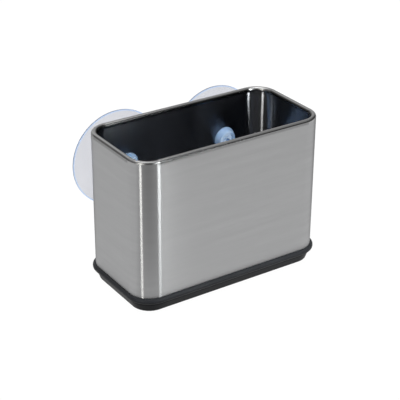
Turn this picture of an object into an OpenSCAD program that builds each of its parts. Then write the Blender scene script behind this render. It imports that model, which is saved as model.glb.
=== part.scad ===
// Sponge holder for the inside of a kitchen sink: a brushed steel sleeve, a pull-off
// base that drains, and two suction cups buttoned through the back wall.
// Millimetres. X runs along the length, Y goes back to the sink wall, Z is up.
// The origin is the middle of the base's underside, under the centre of the sleeve.

/* [Steel sleeve] */
// Outside length of the sleeve
sleeve_len = 137; // [100:0.1:180]
// Outside width of the sleeve, front to back
sleeve_wid = 67.2; // [50:0.1:100]
// Height of the rim's top above the standing surface
rim_top_h = 102.8; // [85:0.1:150]
// Outside radius of the four upright corners
corner_r = 14.5; // [8:0.5:22]
// Thickness of the steel sheet
sheet_t = 0.6; // [0.4:0.05:0.8]
// Outside radius of the roll along the rim
rim_r = 1.85; // [1.1:0.05:2.6]
// How far round its roll the sheet is turned, in degrees
rim_turn = 285; // [200:5:300]

/* [Base outside] */
// Height at which the steel goes into the base
seat_line_h = 10.8; // [9:0.1:16]
// Radius of the half-round flange, which is also how far it stands out past the steel
flange_r = 2; // [1.2:0.1:3]
// How far the neck between flange and foot lies in from the steel
neck_in = 0.45; // [0.2:0.05:1]
// Height of that neck
neck_h = 0.8; // [0.4:0.1:1.5]
// Slope of the foot's side, in degrees from upright
foot_draft = 19; // [5:1:25]
// Radius of the foot's lower edge
foot_edge_r = 1.4; // [0.8:0.1:2]

/* [Base inside] */
// How deep the steel's lower edge sits in its groove
groove_depth = 3.2; // [2:0.1:4]
// Clearance between the steel's outer face and the groove
groove_gap = 0.1; // [0.05:0.05:0.2]
// Clearance under the steel's lower edge
seat_gap = 0.05; // [0.02:0.01:0.1]
// Clearance between the plug's wall and the steel
plug_gap = 0.4; // [0.2:0.05:0.6]
// Thickness of the plug's wall
plug_wall = 1.6; // [1.2:0.1:2.5]
// How far the plug rises above the line where the steel goes in
plug_rise = 3.6; // [2:0.1:8]
// Radius of the upright crush ribs that grip the steel
crush_r = 0.9; // [0.7:0.05:1.2]
// Clearance left between a crush rib and the steel
crush_gap = 0.05; // [0.02:0.01:0.1]
// Distance between the crush ribs along a side
crush_pitch = 24; // [12:1:40]
// Width of the ring that the base stands on, with its rounded edge
skirt_w = 3.1; // [2.2:0.1:5]
// Depth of the hollow under the floor
under_depth = 3.4; // [2:0.1:3.8]
// Thickness of the floor
floor_t = 2; // [1.4:0.1:3]
// Radius of the fillet between the floor and the plug's wall
floor_fillet_r = 1.5; // [0.5:0.1:3]

/* [Drain floor] */
// Distance between the raised ribs, and between the slots
rib_pitch = 12; // [8:0.5:20]
// Width of a raised rib
rib_w = 2; // [1.2:0.1:3]
// Height of a raised rib above the floor
rib_h = 2.2; // [1.2:0.1:4]
// Gap between the end of a rib and the plug's wall
rib_end_gap = 4; // [3:0.5:10]
// Width of a drain slot
slot_w = 3; // [2:0.1:4]
// Gap between the end of a slot and the plug's wall
slot_end_gap = 11; // [6:0.5:16]
// Width of the stiffening ribs under the floor
web_w = 1.8; // [1.2:0.1:3]
// How far the cross ribs under the floor stay above the standing surface
web_lift = 0.8; // [0.4:0.1:1.5]

/* [Suction cups] */
// Radius of a cup's lip
cup_r = 32.5; // [24:0.5:36]
// Space between the lips of the two cups
cup_space = 9.8; // [4:0.2:20]
// How far the top of each lip lies below the rim's top
cup_drop = 0.2; // [0:0.1:6]
// How far the lip's face stands behind the sleeve
cup_reach = 12.5; // [9:0.1:16]
// Thickness of the dish at its middle
dish_t = 2.4; // [1.6:0.1:3]
// Thickness of the lip's edge
lip_t = 0.7; // [0.4:0.05:1.2]
// Width of the flat ring of the lip that meets the sink wall
lip_flat = 1; // [0.6:0.1:2]
// Radius of the shoulder that bears on the outside of the sleeve
shoulder_r = 9; // [7:0.1:12]
// Height of the shoulder, from the sleeve to the dish
shoulder_h = 2.2; // [1.2:0.1:4]
// Radius of the neck that goes through the sleeve
neck_r = 4.75; // [3:0.05:6]
// Clearance of the neck in its hole
neck_gap = 0.05; // [0.02:0.01:0.1]
// Clearance between the sheet and the shoulder or the button
grip_gap = 0.05; // [0.02:0.01:0.1]

/* [Cup button] */
// Radius of the button inside the sleeve, where it bears on the sheet
button_r = 7.8; // [6.4:0.1:10]
// Radius of the button's front face
button_face_r = 6.3; // [5:0.1:6.3]
// Height of the button inside the sleeve
button_h = 4.8; // [3:0.1:6]
// Rounding of the button's front edge
button_edge_r = 1.2; // [0.5:0.1:1.2]
// Radius of the moulded hole in the button
dimple_r = 1.2; // [0.8:0.1:2]
// Depth of that hole
dimple_depth = 6; // [2:0.1:7]
// Radius of the middle of the ring moulded into the button's face
ring_r = 3.6; // [3:0.1:4]
// Width of that ring
ring_w = 0.6; // [0.3:0.1:0.8]

/* [Hidden] */
$fn = 96;
// A hair by which pieces that are fused or cut run past each other
eps = 0.02;

half_len = sleeve_len / 2;
half_wid = sleeve_wid / 2;
straight_len = sleeve_len - 2 * corner_r;
straight_wid = sleeve_wid - 2 * corner_r;

// Heights in the base, from the standing surface up
flange_mid_h = seat_line_h - flange_r;
neck_low_h = flange_mid_h - flange_r - neck_h;
groove_h = seat_line_h - groove_depth;
floor_h = under_depth + floor_t;
plug_top_h = seat_line_h + plug_rise;
sleeve_low_h = groove_h + seat_gap;

// Distances in the base, inwards from the steel's outer face
plug_out = sheet_t + plug_gap;
plug_in = plug_out + plug_wall;
foot_in = neck_in + (neck_low_h - foot_edge_r * (1 - sin(foot_draft))) * tan(foot_draft);
foot_edge_in = foot_in + foot_edge_r * cos(foot_draft);
skirt_in = foot_in + skirt_w;
plug_lead = plug_wall / 3;

// The floor inside the plug
floor_len = sleeve_len - 2 * plug_in;
floor_wid = sleeve_wid - 2 * plug_in;
rib_count = 2 * floor((floor_len / 2 - rib_end_gap) / rib_pitch) + 1;

// The cups' places and surfaces, with heights counted back from the sleeve's outer face
cup_x = cup_r + cup_space / 2;
cup_z = rim_top_h - cup_drop - cup_r;
hole_r = neck_r + neck_gap;
front_sag = cup_reach - lip_t - shoulder_h;
front_ball_r = (cup_r * cup_r + front_sag * front_sag) / (2 * front_sag);
hollow_low = shoulder_h + dish_t;
hollow_sag = cup_reach - hollow_low;
hollow_rim_r = cup_r - lip_flat;
hollow_ball_r = (hollow_rim_r * hollow_rim_r + hollow_sag * hollow_sag) / (2 * hollow_sag);
button_back = -(sheet_t + grip_gap);
button_front = button_back - button_h;
// How far the neck runs on into the button and into the shoulder
neck_lap = shoulder_h / 2;

// Carries a profile round the holder. The profile's X is the distance outwards from
// the steel's outer face, and its Y is the height.
module round_the_holder() {
    for (side = [0 : 3]) {
        on_end = side % 2 == 0;
        reach = on_end ? half_len : half_wid;
        run = on_end ? straight_wid : straight_len;
        rotate([0, 0, 90 * side]) {
            translate([reach, 0, 0])
                rotate([90, 0, 0])
                    linear_extrude(height = run, center = true) children();
            translate([reach - corner_r, run / 2, 0])
                rotate_extrude(angle = 90) translate([corner_r, 0]) children();
        }
    }
}

// A flat plate with the holder's round corners, drawn in by inset on every side
module plate(inset, low, high) {
    translate([0, 0, low])
        linear_extrude(height = high - low) {
            square([sleeve_len - 2 * inset, straight_wid], center = true);
            square([straight_len, sleeve_wid - 2 * inset], center = true);
            for (x = [-1, 1], y = [-1, 1])
                translate([x * straight_len / 2, y * straight_wid / 2]) circle(corner_r - inset);
        }
}

// The steel's wall, rolled inwards at the top into an open round hem
module sleeve_profile() {
    roll_x = -rim_r;
    roll_y = rim_top_h - rim_r;
    translate([-sheet_t, sleeve_low_h]) square([sheet_t, roll_y - sleeve_low_h]);
    translate([roll_x, roll_y])
        difference() {
            circle(rim_r);
            circle(rim_r - sheet_t);
            hem_mouth();
        }
}

// The part of the roll that the sheet doesn't reach: a wedge back to the wall
module hem_mouth() {
    far = 2 * rim_r;
    polygon([[0, 0], [far * cos(rim_turn), far * sin(rim_turn)], [far, -far], [far, 0]]);
}

module sleeve() {
    color("silver")
        difference() {
            round_the_holder() sleeve_profile();
            for (side = [-1, 1])
                translate([side * cup_x, half_wid + sheet_t, cup_z])
                    rotate([90, 0, 0]) cylinder(r = hole_r, h = 3 * sheet_t);
        }
}

// The base's wall: foot, neck and half-round flange outside, groove for the steel,
// and the plug's wall with its lead-in inside
module base_profile() {
    difference() {
        union() {
            polygon([
                [-skirt_in, 0],
                [-foot_edge_in, 0],
                [-foot_in, foot_edge_r * (1 - sin(foot_draft))],
                [-neck_in, neck_low_h],
                [-neck_in, floor_h],
                [-skirt_in, floor_h]
            ]);
            translate([-foot_edge_in, foot_edge_r]) circle(foot_edge_r);
            translate([-plug_in, floor_h - eps])
                square([plug_in - neck_in, seat_line_h - floor_h + eps]);
            translate([0, flange_mid_h]) circle(flange_r);
            polygon([
                [-plug_in, groove_h],
                [-plug_in, plug_top_h],
                [-plug_out - plug_lead, plug_top_h],
                [-plug_out, plug_top_h - 2 * plug_lead],
                [-plug_out, groove_h]
            ]);
        }
        translate([-plug_out, groove_h])
            square([plug_out + groove_gap, groove_depth + flange_r]);
    }
    floor_fillet();
}

module floor_fillet() {
    translate([-plug_in - floor_fillet_r, floor_h - eps])
        difference() {
            square([floor_fillet_r + eps, floor_fillet_r + eps]);
            translate([0, floor_fillet_r + eps]) circle(floor_fillet_r);
        }
}

// Upright ribs round the plug, which take up its clearance and grip the steel
module crush_ribs() {
    rib_in = sheet_t + crush_gap + crush_r;
    rib_top = plug_top_h - 3 * plug_lead;
    for (side = [0 : 3]) {
        on_end = side % 2 == 0;
        reach = (on_end ? half_len : half_wid) - rib_in;
        run = on_end ? straight_wid : straight_len;
        steps = max(1, floor(run / crush_pitch));
        for (i = [0 : steps])
            rotate([0, 0, 90 * side])
                translate([reach, (i / steps - 0.5) * (run - 2 * crush_r), groove_h - eps])
                    cylinder(r = crush_r, h = rib_top - groove_h);
    }
}

// One slot through the floor, with round ends
module drain_slot() {
    slot_half = floor_wid / 2 - slot_end_gap - slot_w / 2;
    translate([0, 0, under_depth - eps])
        linear_extrude(height = floor_t + 2 * eps) {
            square([slot_w, 2 * slot_half], center = true);
            for (end = [-1, 1]) translate([0, end * slot_half]) circle(slot_w / 2);
        }
}

// One raised rib with a round back, which keeps the sponge off the floor
module floor_rib() {
    rib_half = floor_wid / 2 - rib_end_gap;
    crown = rib_w / 2;
    translate([0, 0, floor_h - eps])
        rotate([90, 0, 0])
            linear_extrude(height = 2 * (rib_half - crown), center = true) rib_section();
    for (end = [-1, 1])
        translate([0, end * (rib_half - crown), floor_h - eps])
            rotate_extrude() intersection() {
                rib_section();
                square([crown, rib_h + 2 * eps]);
            }
}

module rib_section() {
    crown = rib_w / 2;
    translate([-crown, 0]) square([rib_w, rib_h - crown + eps]);
    translate([0, rib_h - crown + eps]) circle(crown);
}

// Stiffening ribs under the floor: one along the middle, which reaches the standing
// surface, and shorter ones across
module floor_webs() {
    web_len = sleeve_len - 2 * skirt_in + 2 * eps;
    web_wid = sleeve_wid - 2 * skirt_in + 2 * eps;
    translate([-web_len / 2, -web_w / 2, 0]) cube([web_len, web_w, under_depth + eps]);
    for (i = [-(rib_count - 1) / 2 : 2 : (rib_count - 1) / 2])
        translate([i * rib_pitch - web_w / 2, -web_wid / 2, web_lift])
            cube([web_w, web_wid, under_depth - web_lift + eps]);
}

module base() {
    color([0.13, 0.13, 0.14]) {
        round_the_holder() base_profile();
        crush_ribs();
        difference() {
            plate(skirt_in - eps, under_depth, floor_h);
            for (i = [0 : rib_count])
                translate([(i - rib_count / 2) * rib_pitch, 0, 0]) drain_slot();
        }
        for (i = [0 : rib_count - 1])
            translate([(i - (rib_count - 1) / 2) * rib_pitch, 0, 0]) floor_rib();
        floor_webs();
    }
}

// The dish: a ball's shell, thick in the middle and thin at the lip
module dish() {
    rotate_extrude()
        difference() {
            intersection() {
                translate([0, shoulder_h]) square([cup_r, cup_reach - shoulder_h]);
                translate([0, shoulder_h + front_ball_r]) circle(front_ball_r, $fn = 360);
            }
            translate([0, hollow_low + hollow_ball_r]) circle(hollow_ball_r, $fn = 360);
        }
}

// The shoulder behind the sleeve, flared into the dish
module shoulder() {
    flare = shoulder_r / 3;
    rotate_extrude()
        polygon([
            [0, grip_gap],
            [shoulder_r, grip_gap],
            [shoulder_r, shoulder_h / 2],
            [shoulder_r + flare, shoulder_h + dish_t / 2],
            [shoulder_r, hollow_low],
            [0, hollow_low]
        ]);
}

// The button inside the sleeve: widest at the sheet, with a round front edge and a
// ring moulded into its face
module button() {
    back_edge = button_edge_r / 2;
    front_edge_r = button_face_r - button_edge_r;
    difference() {
        union() {
            rotate_extrude()
                polygon([
                    [0, button_back],
                    [button_r - back_edge, button_back],
                    [button_r, button_back - back_edge],
                    [button_face_r, button_front + button_edge_r],
                    [front_edge_r, button_front],
                    [0, button_front]
                ]);
            rotate_extrude()
                translate([front_edge_r, button_front + button_edge_r]) circle(button_edge_r);
        }
        rotate_extrude()
            translate([ring_r, button_front]) circle(ring_w / 2);
    }
}

module suction_cup(side) {
    color([0.76, 0.83, 0.93, 0.7])
        translate([side * cup_x, half_wid, cup_z])
            rotate([-90, 0, 0])
                difference() {
                    union() {
                        dish();
                        shoulder();
                        button();
                        translate([0, 0, button_back - neck_lap])
                            cylinder(r = neck_r, h = grip_gap - button_back + 2 * neck_lap);
                    }
                    translate([0, 0, button_front - eps]) cylinder(r = dimple_r, h = dimple_depth);
                }
}

sleeve();
base();
suction_cup(-1);  // suction_cup_left
suction_cup(1);  // suction_cup_right
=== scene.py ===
"""A brushed steel sponge holder with a black moulded base and clear suction cups."""
import math

import bpy
from mathutils import Matrix, Vector


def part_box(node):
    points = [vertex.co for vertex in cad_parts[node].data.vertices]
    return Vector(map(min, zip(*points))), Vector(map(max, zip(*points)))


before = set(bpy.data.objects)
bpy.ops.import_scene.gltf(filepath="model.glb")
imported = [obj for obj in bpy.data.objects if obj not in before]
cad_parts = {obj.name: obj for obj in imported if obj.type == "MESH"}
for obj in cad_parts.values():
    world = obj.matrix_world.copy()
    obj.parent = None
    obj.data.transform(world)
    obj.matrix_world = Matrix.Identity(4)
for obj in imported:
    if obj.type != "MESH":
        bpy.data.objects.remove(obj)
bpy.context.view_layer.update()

# Lengths are in metres. The origin lies under the sleeve's middle, level with the base's underside.
SLEEVE_LOW, SLEEVE_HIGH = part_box("sleeve")
BASE_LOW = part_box("base")[0]
CUP_LOW, CUP_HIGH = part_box("suction_cup_right")
CUPS = ("suction_cup_left", "suction_cup_right")
CUP_MIDDLE = (CUP_LOW + CUP_HIGH) / 2
CUP_RADIUS = (CUP_HIGH.z - CUP_LOW.z) / 2
RIM_TOP = SLEEVE_HIGH.z
BACK_FACE = SLEEVE_HIGH.y
# Height of the roll along the rim, and of its outermost line, where it meets the wall
ROLL = 0.0037
ROLL_FOOT = RIM_TOP - ROLL / 2
# Height of the top of the base's flange
FLANGE_TOP = 0.0108
# The outside radius of the upright corners, and the middle of the front left one on the floor
CORNER_RADIUS = 0.0145
FRONT_CORNER = Vector((SLEEVE_LOW.x + CORNER_RADIUS, SLEEVE_LOW.y + CORNER_RADIUS, 0.0))
# Over this distance from a flat wall into a bend, the shading by place turns from wall to bend
BEND_FADE = 0.0015

# The camera: its place, the way it faces and its focal length in pixels of a 400 pixel frame
CAMERA_AT = Vector((-0.39740, -0.58849, 0.41055))
CAMERA_YAW = 0.58962
CAMERA_PITCH = 0.47214
CAMERA_ROLL = 0.0054
CAMERA_CLIP_START = 0.01
FOCAL_PIXELS = 1243.45
FRAME_PIXELS = 400
SENSOR_MM = 36.0

WHITE = (1.0, 1.0, 1.0, 1.0)


def add_camera():
    """Looks along the yaw, counted from +Y towards +X, and down by the pitch."""
    yaw, pitch, roll = CAMERA_YAW, CAMERA_PITCH, CAMERA_ROLL
    ahead = Vector((math.sin(yaw) * math.cos(pitch), math.cos(yaw) * math.cos(pitch), -math.sin(pitch)))
    level = ahead.cross(Vector((0, 0, 1))).normalized()
    upright = level.cross(ahead)
    right = math.cos(roll) * level + math.sin(roll) * upright
    up = math.cos(roll) * upright - math.sin(roll) * level
    data = bpy.data.cameras.new("camera")
    data.sensor_width = SENSOR_MM
    data.lens = FOCAL_PIXELS / FRAME_PIXELS * SENSOR_MM
    data.clip_start = CAMERA_CLIP_START
    camera = bpy.data.objects.new("camera", data)
    bpy.context.scene.collection.objects.link(camera)
    turn = Matrix((right, up, -ahead)).transposed().to_4x4()
    camera.matrix_world = Matrix.Translation(CAMERA_AT) @ turn
    bpy.context.scene.camera = camera


class Shader:
    """A material or world under construction: adds nodes and links them by socket name."""

    def __init__(self, owner):
        owner.use_nodes = True
        self.tree = owner.node_tree
        self.tree.nodes.clear()

    def add(self, kind, inputs=None, **settings):
        node = self.tree.nodes.new(kind)
        for name, value in settings.items():
            setattr(node, name, value)
        for name, value in (inputs or {}).items():
            if isinstance(value, bpy.types.NodeSocket):
                self.tree.links.new(value, node.inputs[name])
            else:
                node.inputs[name].default_value = value
        return node

    def math(self, operation, first, second):
        return self.add("ShaderNodeMath", {0: first, 1: second}, operation=operation).outputs[0]

    def vector_math(self, operation, first, second=(0.0, 0.0, 0.0)):
        """A vector from two, or a number where the operation is a length or a dot product."""
        node = self.add("ShaderNodeVectorMath", {0: first, 1: second}, operation=operation)
        return node.outputs["Value" if operation in ("LENGTH", "DOT_PRODUCT") else "Vector"]

    def scaled(self, colour, factor):
        node = self.add("ShaderNodeVectorMath", {0: colour, "Scale": factor}, operation="SCALE")
        return node.outputs["Vector"]

    def axes(self, vector):
        """The sockets X, Y and Z of a vector."""
        return self.add("ShaderNodeSeparateXYZ", {"Vector": vector}).outputs

    def remap(self, value, span, new_span):
        """Takes one span of values to another, and stays at its ends beyond them."""
        node = self.add("ShaderNodeMapRange", {
            "Value": value, "From Min": span[0], "From Max": span[1],
            "To Min": new_span[0], "To Max": new_span[1],
        })
        return node.outputs["Result"]

    def fade(self, value, start, end):
        """0 at the start, rising to 1 at the end."""
        return self.remap(value, (start, end), (0.0, 1.0))

    def noise(self, where, scale, detail=2.0, roughness=0.5, stretch=(1, 1, 1)):
        """A noise value in 0 to 1, at scale per metre along each axis."""
        spread = self.add("ShaderNodeMapping", {"Vector": where, "Scale": [scale * s for s in stretch]})
        node = self.add("ShaderNodeTexNoise", {
            "Vector": spread.outputs["Vector"], "Scale": 1.0, "Detail": detail, "Roughness": roughness,
        })
        return node.outputs["Fac"]

    def place(self):
        return self.add("ShaderNodeTexCoord").outputs["Object"]

    def ramp(self, value, stops):
        """A colour ramp through (position, grey or colour) stops."""
        node = self.add("ShaderNodeValToRGB", {"Fac": value})
        elements = node.color_ramp.elements
        while len(elements) > 1:
            elements.remove(elements[-1])
        for i, (position, colour) in enumerate(stops):
            element = elements[0] if i == 0 else elements.new(position)
            element.position = position
            element.color = tuple(colour) + (1.0,) if hasattr(colour, "__len__") else (colour,) * 3 + (1.0,)
        return node.outputs["Color"]

    def ramp_around(self, way, stops):
        """A ramp round the upright axis, through (azimuth, grey) stops at -180 to 180 degrees."""
        level = self.axes(way)
        azimuth = self.math("ARCTAN2", level["Y"], level["X"])
        around = self.fade(azimuth, -math.pi, math.pi)
        return self.ramp(around, [((degrees + 180.0) / 360.0, grey) for degrees, grey in stops])

    def mix_colours(self, share, first, second):
        node = self.add("ShaderNodeMix", {0: share, 6: first, 7: second}, data_type="RGBA")
        return node.outputs[2]

    def mix_shaders(self, share, first, second):
        return self.add("ShaderNodeMixShader", {0: share, 1: first, 2: second}).outputs[0]

    def bump(self, height, strength, distance):
        node = self.add("ShaderNodeBump", {"Height": height, "Strength": strength, "Distance": distance})
        return node.outputs["Normal"]

    def emission(self, colour, strength):
        return self.add("ShaderNodeEmission", {"Color": colour, "Strength": strength}).outputs[0]

    def seen_by_camera(self):
        """1 for what the camera sees, straight or through a clear cup, and 0 for the rest."""
        path = self.add("ShaderNodeLightPath").outputs
        return self.math("MAXIMUM", path["Is Camera Ray"], path["Is Transmission Ray"])

    def surface(self, shader):
        self.add("ShaderNodeOutputMaterial", {"Surface": shader})


def new_material(name):
    material = bpy.data.materials.new(name)
    return material, Shader(material)


def way_out_of_bend(s, place):
    """The level way from the middle of the nearest corner bend, or from the line between two of them."""
    folded = s.vector_math("ABSOLUTE", place)
    # The middle stands above the rim, so that no height is left in the offset
    middle = (-FRONT_CORNER.x, -FRONT_CORNER.y, 1.0)
    offset = s.vector_math("SUBTRACT", folded, middle)
    return s.vector_math("MAXIMUM", offset)


def distance_from_bend(s, place):
    """How far outwards a point lies from the middles of the corner bends, or from the lines between them."""
    return s.vector_math("LENGTH", way_out_of_bend(s, place))


def nearness_to_bend(s, place):
    """0 on the flat walls, 1 in the corner bends."""
    outward = s.axes(way_out_of_bend(s, place))
    return s.fade(s.math("MINIMUM", outward["X"], outward["Y"]), 0.0, BEND_FADE)


# The part of a noise's 0 to 1 that most of it lies in, for the steel and for the plastics
STREAK_SPAN = (0.25, 0.75)
CLOUD_SPAN = (0.3, 0.7)

# The sheet's colour and roughness, from its darkest streaks to its palest
SHEET_COLOURS = ((0.43, 0.432, 0.436), (0.49, 0.492, 0.496))
SHEET_ROUGHNESS = (0.33, 0.27)
# The shares of the fine and the broad streaks in the brushing
FINE_STREAKS = 0.7
BROAD_STREAKS = 0.3
# Draws the highlights out upright, across the brushing
SHEET_ANISOTROPY = -0.74
# Heights just under the roll between which the flat walls darken with painted shade, and how dark they get
UNDER_ROLL = (ROLL_FOOT - 0.0016, ROLL_FOOT - 0.0002)
UNDER_ROLL_SHADE = 0.6
# The inner side's colour: painted shade on the flat walls and a paler painted sheen in the bends
INNER_COLOURS = ((0.31, 0.33, 0.37), (0.53, 0.54, 0.57))
# Where the inner side's painted dark left end lies along the length, and how dark that painted shade gets
LEFT_END = (SLEEVE_LOW.x + 0.012, SLEEVE_LOW.x + 0.034)
LEFT_END_SHADE = 0.3
# Where, within the sheet's thickness, the inner side's colour gives way to the outer side's
THROUGH_SHEET = (CORNER_RADIUS - 0.0005, CORNER_RADIUS - 0.0002)


def outer_side(s, place, streak):
    """Streaked grey, with painted shade darkening the flat walls just under the roll."""
    plain = s.ramp(streak, zip(STREAK_SPAN, SHEET_COLOURS))
    # Painted shade under the roll, left out in the bends
    under_roll = s.remap(s.axes(place)["Z"], UNDER_ROLL, (1.0, UNDER_ROLL_SHADE))
    return s.scaled(plain, s.math("MAXIMUM", under_roll, nearness_to_bend(s, place)))


def inner_side(s, place):
    """Painted shade and sheen: dark bluish grey on the flat walls, paler in the bends and darkest at the
    left end.
    """
    inner_painted_light = s.ramp(nearness_to_bend(s, place), zip((0.0, 1.0), INNER_COLOURS))
    return s.scaled(inner_painted_light, s.remap(s.axes(place)["X"], LEFT_END, (LEFT_END_SHADE, 1.0)))


def brushed_steel():
    """Sheet steel, brushed along its length: long fine streaks that change the gloss and the grey."""
    material, s = new_material("brushed_steel")
    place = s.place()
    fine = s.noise(place, scale=60, detail=3, roughness=0.7, stretch=(1, 1, 90))
    broad = s.noise(place, scale=12, stretch=(1, 1, 28))
    streak = s.math("ADD", s.math("MULTIPLY", fine, FINE_STREAKS), s.math("MULTIPLY", broad, BROAD_STREAKS))
    inside = s.remap(distance_from_bend(s, place), THROUGH_SHEET, (1.0, 0.0))
    upright = s.add("ShaderNodeCombineXYZ", {"X": 0.0, "Y": 0.0, "Z": 1.0})
    steel = s.add("ShaderNodeBsdfAnisotropic", {
        "Color": s.mix_colours(inside, outer_side(s, place, streak), inner_side(s, place)),
        "Roughness": s.remap(streak, STREAK_SPAN, SHEET_ROUGHNESS),
        "Anisotropy": SHEET_ANISOTROPY,
        "Tangent": upright.outputs["Vector"],
        "Normal": s.bump(fine, strength=0.03, distance=0.0002),
    }, distribution="BECKMANN")
    s.surface(steel.outputs[0])
    return material


# The roll's grey and roughness, from its darkest streaks to its palest, and what a bend adds to the latter
RIM_GREYS = (0.39, 0.47)
RIM_ROUGHNESS = (0.22, 0.18)
RIM_BEND_ROUGHNESS = 0.14
# The roll's inner part, darkened by painted shade: distances from the bends' middles between which it ends,
# and how dark it is
SHADED_INNER_PART = (CORNER_RADIUS - 0.95 * ROLL, CORNER_RADIUS - 0.79 * ROLL)
INNER_PART_SHADE = 0.3
# In the bends that painted shade reaches further out, but less far in the far right one, where X + Y is
# largest
TOWARDS_FAR_RIGHT = (0.06, 0.08)
SHADED_PART_SHIFT = (0.0005, -0.0006)
# Heights of the painted shade line at the roll's foot along the straight walls, and how dark it is
FOOT_LINE = (ROLL_FOOT, ROLL_FOOT + 0.0009)
FOOT_SHADE = 0.6
# The right strip's glare on the near left of the roll, covered by painted shade: each pair says where its
# dimming begins and is whole
GLARE_FRONT = (SLEEVE_LOW.y + 0.008, SLEEVE_LOW.y + 0.003)
GLARE_LEFT = (SLEEVE_LOW.x + 0.048, SLEEVE_LOW.x + 0.023)
GLARE_BELOW_TOP = (RIM_TOP - 0.0002, RIM_TOP - 0.0006)
GLARE_IN_BEND = (RIM_TOP - 0.0013, RIM_TOP - 0.0007)
GLARE_SHADE = 0.45


def near_left_glare(s, place, at_bend):
    """1 where the right strip would gleam: below the straight front roll's top, and on the bend's crown."""
    at = s.axes(place)
    near_left = s.math("MULTIPLY", s.fade(at["Y"], *GLARE_FRONT), s.fade(at["X"], *GLARE_LEFT))
    straight = s.math("SUBTRACT", 1.0, at_bend)
    on_straight = s.math("MULTIPLY", s.fade(at["Z"], *GLARE_BELOW_TOP), straight)
    on_bend = s.math("MULTIPLY", s.fade(at["Z"], *GLARE_IN_BEND), at_bend)
    return s.math("MULTIPLY", near_left, s.math("MAXIMUM", on_straight, on_bend))


def rim_shade(s, place, at_bend):
    """Painted shade on the roll: what is left of its brightness at its inner part, its foot and the near
    left glare.
    """
    shift = s.remap(s.vector_math("DOT_PRODUCT", place, (1.0, 1.0, 0.0)), TOWARDS_FAR_RIGHT, SHADED_PART_SHIFT)
    reach = s.math("SUBTRACT", distance_from_bend(s, place), s.math("MULTIPLY", at_bend, shift))
    # Painted shade on the roll's inner part
    inner_shade = s.remap(reach, SHADED_INNER_PART, (INNER_PART_SHADE, 1.0))
    # Painted shade at the roll's foot, left out in the bends
    foot = s.math("MAXIMUM", s.remap(s.axes(place)["Z"], FOOT_LINE, (FOOT_SHADE, 1.0)), at_bend)
    # Painted shade that darkens the roll over the right strip's reflection
    glare = s.remap(near_left_glare(s, place, at_bend), (0.0, 1.0), (1.0, GLARE_SHADE))
    return s.math("MULTIPLY", s.math("MULTIPLY", inner_shade, foot), glare)


def rim_steel():
    """The rolled rim: the same sheet, burnished by the rolling, with painted shade on its grey."""
    material, s = new_material("rim_steel")
    place = s.place()
    streak = s.noise(place, scale=40, detail=3, roughness=0.6, stretch=(1, 1, 30))
    at_bend = nearness_to_bend(s, place)
    plain = s.ramp(streak, zip(STREAK_SPAN, RIM_GREYS))
    straight_roughness = s.remap(streak, STREAK_SPAN, RIM_ROUGHNESS)
    steel = s.add("ShaderNodeBsdfAnisotropic", {
        "Color": s.scaled(plain, rim_shade(s, place, at_bend)),
        "Roughness": s.math("ADD", straight_roughness, s.math("MULTIPLY", at_bend, RIM_BEND_ROUGHNESS)),
        "Normal": s.bump(streak, strength=0.01, distance=0.0001),
    }, distribution="BECKMANN")
    s.surface(steel.outputs[0])
    return material


# The plastic's colour and roughness, from the darkest and smoothest places to the palest and roughest
PLASTIC_COLOURS = ((0.0085, 0.009, 0.0105), (0.013, 0.0137, 0.0155))
PLASTIC_ROUGHNESS = (0.36, 0.48)
PLASTIC_SPECULAR = 0.13
# Heights between which the flange turns paler towards its top as a painted highlight, and how many times
# paler it gets
FLANGE_UPPER_PART = (FLANGE_TOP - 0.0033, FLANGE_TOP - 0.0013)
FLANGE_PALER = 3.2


def black_plastic():
    """Moulded black plastic with a fine satin grain, and a painted highlight along the flange's top."""
    material, s = new_material("black_plastic")
    place = s.place()
    grain = s.noise(place, scale=2600, roughness=0.6)
    cloud = s.noise(place, scale=45, detail=3)
    # Painted highlight: the flange's upper part made paler
    paler = s.remap(s.axes(place)["Z"], FLANGE_UPPER_PART, (1.0, FLANGE_PALER))
    plastic = s.add("ShaderNodeBsdfPrincipled", {
        "Base Color": s.scaled(s.ramp(cloud, zip(CLOUD_SPAN, PLASTIC_COLOURS)), paler),
        "Roughness": s.remap(grain, CLOUD_SPAN, PLASTIC_ROUGHNESS),
        "Specular IOR Level": PLASTIC_SPECULAR,
        "Normal": s.bump(grain, strength=0.18, distance=0.0001),
    })
    s.surface(plastic.outputs[0])
    return material


# Depths between which a cup turns from its thick body to its thin dish
BODY_TO_DISH = (BACK_FACE - 0.0005, BACK_FACE + 0.0025)
# The share of milky vinyl in the body and in the dish
MILKINESS = (0.7, 0.02)
MILKY_COLOURS = ((0.42, 0.62, 0.98), (0.48, 0.67, 0.99))
MILKY_SCATTER = 0.6
MILKY_DEPTH = 0.002
# The tint of the clear vinyl in the body, in the dish and at the very edge of the lip
BODY_TINT = (0.62, 0.83, 1.0, 1.0)
DISH_TINT = (0.71, 0.715, 0.752)
LIP_TINT = (0.52, 0.68, 0.98)
LIP_EDGE = (CUP_RADIUS - 0.0011, CUP_RADIUS - 0.0004)
VINYL_IOR = 1.45
# The dish's roughness from the smoothest places to the roughest, and the body's share of it
VINYL_ROUGHNESS = (0.12, 0.2)
BODY_SMOOTHER = 0.4


def nearness_to_lip(s, place):
    """0 over a cup's dish, rising to 1 at the very edge of its lip."""
    # Folded across the middle of the length, the two cups share one middle
    folded = s.vector_math("ABSOLUTE", place)
    offset = s.vector_math("SUBTRACT", folded, (CUP_MIDDLE.x, 0.0, CUP_MIDDLE.z))
    upright_part = s.vector_math("MULTIPLY", offset, (1.0, 0.0, 1.0))
    return s.fade(s.vector_math("LENGTH", upright_part), *LIP_EDGE)


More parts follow.
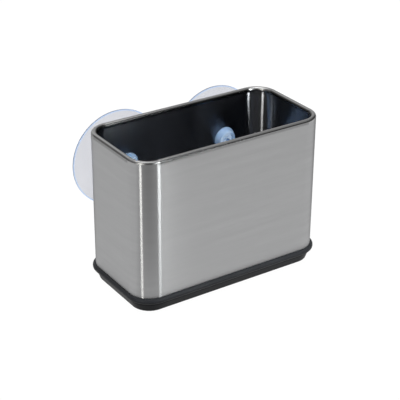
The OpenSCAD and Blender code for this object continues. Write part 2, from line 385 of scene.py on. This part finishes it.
def clear_vinyl():
    """Clear soft vinyl: the thin dish is nearly clear, the thick button milky blue, the lip's edge blue."""
    material, s = new_material("clear_vinyl")
    place = s.place()
    depth = s.axes(place)["Y"]
    cloud = s.noise(place, scale=90, detail=3)
    thick = s.remap(depth, BODY_TO_DISH, (1.0, 0.0))
    dish_roughness = s.remap(cloud, CLOUD_SPAN, VINYL_ROUGHNESS)
    rough = s.math("MULTIPLY", dish_roughness, s.remap(thick, (0.0, 1.0), (1.0, BODY_SMOOTHER)))
    dish_tint = s.ramp(nearness_to_lip(s, place), [(0.0, DISH_TINT), (1.0, LIP_TINT)])
    clear = s.add("ShaderNodeBsdfPrincipled", {
        "Base Color": s.mix_colours(thick, dish_tint, BODY_TINT),
        "Roughness": rough, "IOR": VINYL_IOR, "Transmission Weight": 1.0,
    })
    milky = s.add("ShaderNodeBsdfPrincipled", {
        "Base Color": s.ramp(cloud, zip(CLOUD_SPAN, MILKY_COLOURS)),
        "Roughness": rough, "IOR": VINYL_IOR, "Subsurface Weight": MILKY_SCATTER,
        "Subsurface Scale": MILKY_DEPTH, "Subsurface Radius": (1.0, 1.0, 1.0),
    })
    milkiness = s.remap(depth, BODY_TO_DISH, MILKINESS)
    s.surface(s.mix_shaders(milkiness, clear.outputs[0], milky.outputs[0]))
    return material


# The floor's half width, and how far it lies below the base
FLOOR_HALF = 3.0
FLOOR_GAP = 0.0003
FLOOR_PAINT = (0.8, 0.8, 0.8, 1.0)
# To the camera the floor is a faint veil: the white it adds, and how much shows through it
VEIL_GLOW = 0.8
VEIL_CLEARNESS = 0.94
# How bright the floor glows to glossy rays, a painted reflection that the steel mirrors, by azimuth in
# degrees and by distance from the near corner
FLOOR_BY_AZIMUTH = [
    (-180, 0.82), (-166, 0.68), (-150, 0.55), (-138, 0.40), (-124, 0.34), (-108, 0.36), (-94, 0.45),
    (-80, 0.55), (-64, 0.89), (-8, 0.89), (15, 0.42), (90, 0.42), (108, 0.82), (180, 0.82),
]
FLOOR_BY_DISTANCE = [(0.05, 0.75), (0.09, 0.5), (0.17, 0.0)]


def white_floor():
    """A white floor. The camera sees only its soft shadow, and sees the pulled down base through it. To
    glossy rays it glows in a painted pattern of light and dark for the steel to mirror.
    """
    material, s = new_material("white_floor")
    paint = s.add("ShaderNodeBsdfDiffuse", {"Color": FLOOR_PAINT}).outputs[0]
    veil = s.add("ShaderNodeAddShader", {0: paint, 1: s.emission(WHITE, VEIL_GLOW)}).outputs[0]
    open_air = s.add("ShaderNodeBsdfTransparent").outputs[0]
    corner = s.vector_math("SUBTRACT", s.place(), FRONT_CORNER)
    by_azimuth = s.ramp_around(corner, FLOOR_BY_AZIMUTH)
    by_distance = s.ramp(s.vector_math("LENGTH", corner), FLOOR_BY_DISTANCE)
    # Painted reflection: the floor's glow to glossy rays, by azimuth and distance
    mirrored = s.emission(s.math("MAXIMUM", by_azimuth, by_distance), 1.0)
    in_gloss = s.add("ShaderNodeLightPath").outputs["Is Glossy Ray"]
    unseen = s.mix_shaders(in_gloss, paint, mirrored)
    seen = s.mix_shaders(VEIL_CLEARNESS, veil, open_air)
    s.surface(s.mix_shaders(s.seen_by_camera(), unseen, seen))
    return material


# The room's brightness: its walls by azimuth in degrees, and its ceiling by the upward part of the way
ROOM_WALLS = [(-180, 0.16), (-120, 0.11), (-80, 0.06), (0, 0.06), (40, 0.16), (180, 0.16)]
ROOM_CEILING = [(0.42, 0.0), (0.75, 0.25), (0.88, 0.42), (1.0, 0.46)]
# The backdrop's brightness behind the holder, by azimuth and by the upward part of the way
BACKDROP_ACROSS = [(18, 0.0), (35, 0.72), (62, 0.8), (78, 1.0), (96, 1.0), (113, 0.0)]
BACKDROP_UPWARDS = [(0.0, 0.74), (0.7, 0.74), (0.85, 0.0)]


def studio_world():
    """White to the camera; to everything else a dim room with a bright backdrop behind the holder."""
    world = bpy.data.worlds.new("studio")
    bpy.context.scene.world = world
    s = Shader(world)
    way = s.add("ShaderNodeTexCoord").outputs["Generated"]
    height = s.axes(way)["Z"]
    room = s.math("ADD", s.ramp_around(way, ROOM_WALLS), s.ramp(height, ROOM_CEILING))
    backdrop = s.math("MULTIPLY", s.ramp_around(way, BACKDROP_ACROSS), s.ramp(height, BACKDROP_UPWARDS))
    dim = s.add("ShaderNodeBackground", {"Color": s.math("MAXIMUM", room, backdrop), "Strength": 1.0})
    white = s.add("ShaderNodeBackground", {"Color": WHITE, "Strength": 1.0})
    mixed = s.mix_shaders(s.seen_by_camera(), dim.outputs[0], white.outputs[0])
    s.add("ShaderNodeOutputWorld", {"Surface": mixed})


def add_floor():
    half = FLOOR_HALF
    mesh = bpy.data.meshes.new("floor")
    corners = [(-half, -half, 0), (half, -half, 0), (half, half, 0), (-half, half, 0)]
    mesh.from_pydata(corners, [], [(0, 1, 2, 3)])
    floor = bpy.data.objects.new("floor", mesh)
    floor.location.z = BASE_LOW.z - FLOOR_GAP
    bpy.context.scene.collection.objects.link(floor)
    mesh.materials.append(white_floor())


def add_area_light(name, shape, size, watts):
    data = bpy.data.lights.new(name, "AREA")
    data.shape = shape
    data.size = size
    data.energy = watts
    light = bpy.data.objects.new(name, data)
    bpy.context.scene.collection.objects.link(light)
    return light


def add_overhead(watts, size, height):
    light = add_area_light("overhead", "DISK", size, watts)
    light.location = (0, 0, height)


def add_softbox(name, azimuth, reach, centre_height, width, height, watts, tint):
    """An upright softbox that stands at an azimuth round the holder and faces it."""
    light = add_area_light(name, "RECTANGLE", width, watts)
    light.data.size_y = height
    light.data.color = tint
    angle = math.radians(azimuth)
    light.location = (reach * math.cos(angle), reach * math.sin(angle), centre_height)
    light.rotation_euler = (math.radians(90), 0, angle + math.radians(90))
    return light


def light_only(light, names):
    """Lets a light fall on these pieces alone, as a flag beside it does in a studio."""
    lit = bpy.data.collections.new(light.name + "_lights")
    for name in names:
        lit.objects.link(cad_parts[name])
    light.light_linking.receiver_collection = lit


def add_strips():
    """The two upright strips that the steel's corner mirrors as its two bright streaks."""
    add_softbox("strip_left", azimuth=-154, reach=3.0, centre_height=1.6, width=0.44, height=3.2,
                watts=31, tint=(1.0, 0.99, 0.94))
    right = add_softbox("strip_right", azimuth=-71.8, reach=1.0, centre_height=0.585, width=0.19,
                        height=0.75, watts=5.9, tint=(0.96, 1.0, 1.0))
    light_only(right, ["sleeve", "base"])


def add_button_fill():
    """Reaches the cups' milky buttons over the front wall, and leaves no gleam on their clear dishes."""
    fill = add_softbox("button_fill", azimuth=-90, reach=1.0, centre_height=0.8, width=0.3, height=0.3,
                       watts=8.0, tint=(1.0, 1.0, 1.0))
    fill.visible_glossy = False
    fill.visible_transmission = False
    light_only(fill, CUPS)


def set_materials(node, *materials):
    """Gives a CAD node these material slots instead of its own."""
    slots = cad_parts[node].data.materials
    slots.clear()
    for material in materials:
        slots.append(material)


def dress_holder():
    set_materials("sleeve", brushed_steel(), rim_steel())
    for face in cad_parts["sleeve"].data.polygons:
        face.material_index = 1 if face.center.z > ROLL_FOOT else 0
    set_materials("base", black_plastic())
    vinyl = clear_vinyl()
    for cup in CUPS:
        set_materials(cup, vinyl)


add_camera()
bpy.context.scene.view_settings.view_transform = "Standard"
studio_world()
add_floor()
add_overhead(watts=6.5, size=1.15, height=1.3)
add_strips()
add_button_fill()
dress_holder()
